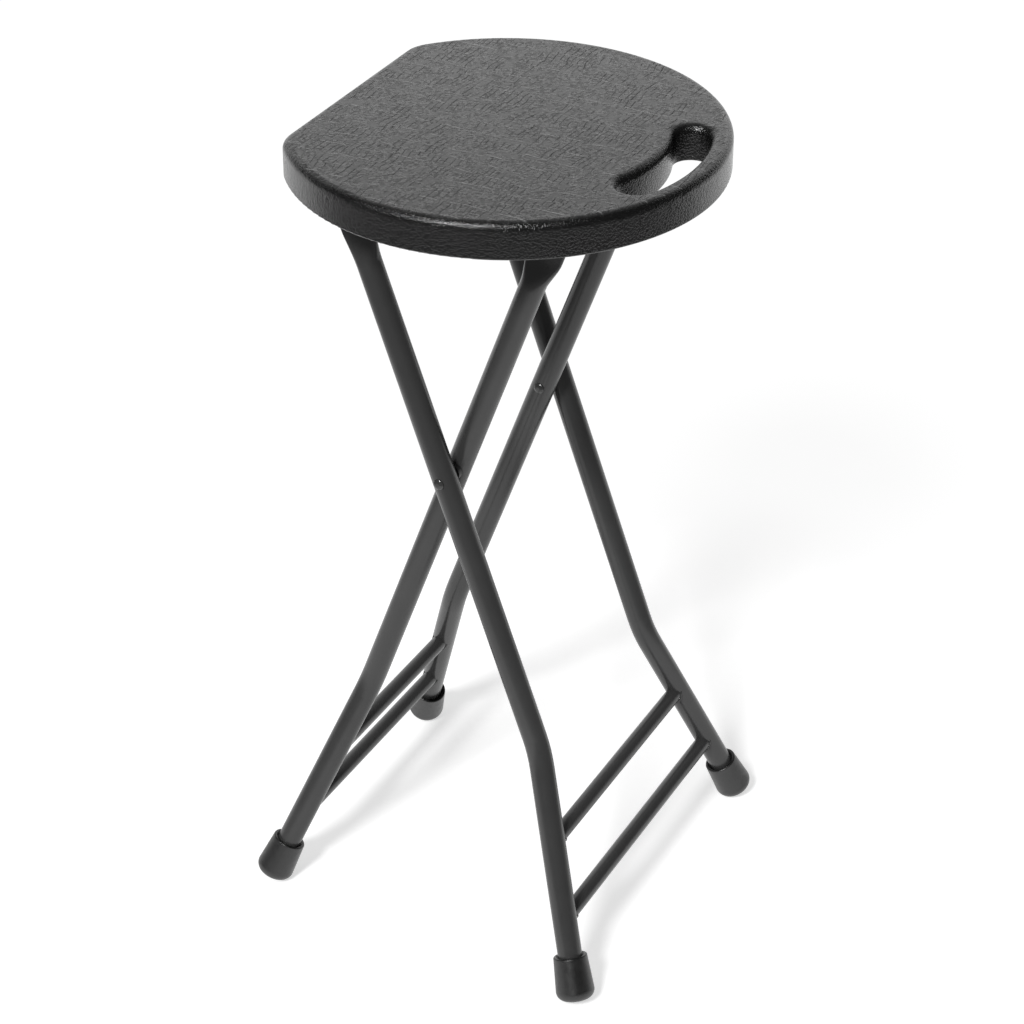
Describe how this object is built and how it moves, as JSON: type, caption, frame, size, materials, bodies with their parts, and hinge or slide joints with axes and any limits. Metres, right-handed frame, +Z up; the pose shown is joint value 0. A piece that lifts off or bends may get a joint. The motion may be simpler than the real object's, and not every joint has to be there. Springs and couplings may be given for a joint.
{
  "type": "folding stool",
  "caption": "Folding stool with a round moulded seat, a handle slot in its rim and crossed tubular leg frames that fold flat as the seat tips up.",
  "frame": {"origin": "on the floor, under the middle of the stool's box when it stands open", "axes": "+Z up, +X across the stool along the pivot axis, -Y towards the handle slot"},
  "size_m": [0.3104, 0.3023, 0.61],
  "materials": {
    "seat_plastic": "moulded, fine leather grain",
    "frame_paint": "satin powder coat",
    "rubber": "matte",
    "spacer_plastic": "plain",
    "fittings": "zinc plated"
  },
  "bodies": {
    "outer_frame": {"outer_foot_left": "rubber", "outer_foot_right": "rubber", "outer_leg_left": "frame_paint", "outer_leg_right": "frame_paint", "outer_lower_crossbar": "frame_paint", "outer_upper_crossbar": "frame_paint", "pivot_rivet_left": "frame_paint", "pivot_rivet_right": "frame_paint", "pivot_spacer_left": "spacer_plastic", "pivot_spacer_right": "spacer_plastic"},
    "inner_frame": {"catch_rod": "fittings", "inner_foot_left": "rubber", "inner_foot_right": "rubber", "inner_leg_left": "frame_paint", "inner_leg_right": "frame_paint", "inner_lower_crossbar": "frame_paint", "inner_upper_crossbar": "frame_paint"},
    "seat": {"catch_hook_left": "fittings", "catch_hook_right": "fittings", "catch_screws": "fittings", "hinge_bracket_left": "fittings", "hinge_bracket_right": "fittings", "hinge_bracket_screws": "fittings", "hinge_pin_left": "fittings", "hinge_pin_right": "fittings", "seat_shell": "seat_plastic"}
  },
  "joints": [
    {"name": "scissor_pivot", "type": "hinge", "parent": "outer_frame", "child": "inner_frame", "pos_m": [0, 0.00351, 0.377], "axis": [-1, 0, 0], "range_deg": [0, 36]},
    {"name": "seat_hinge", "type": "hinge", "parent": "outer_frame", "child": "seat", "pos_m": [0, 0.07223, 0.56582], "axis": [-1, 0, 0], "range_deg": [0, 108]}
  ],
  "couplings": [
    {"joint": "seat_hinge", "follows": "scissor_pivot", "ratio": 3}
  ]
}
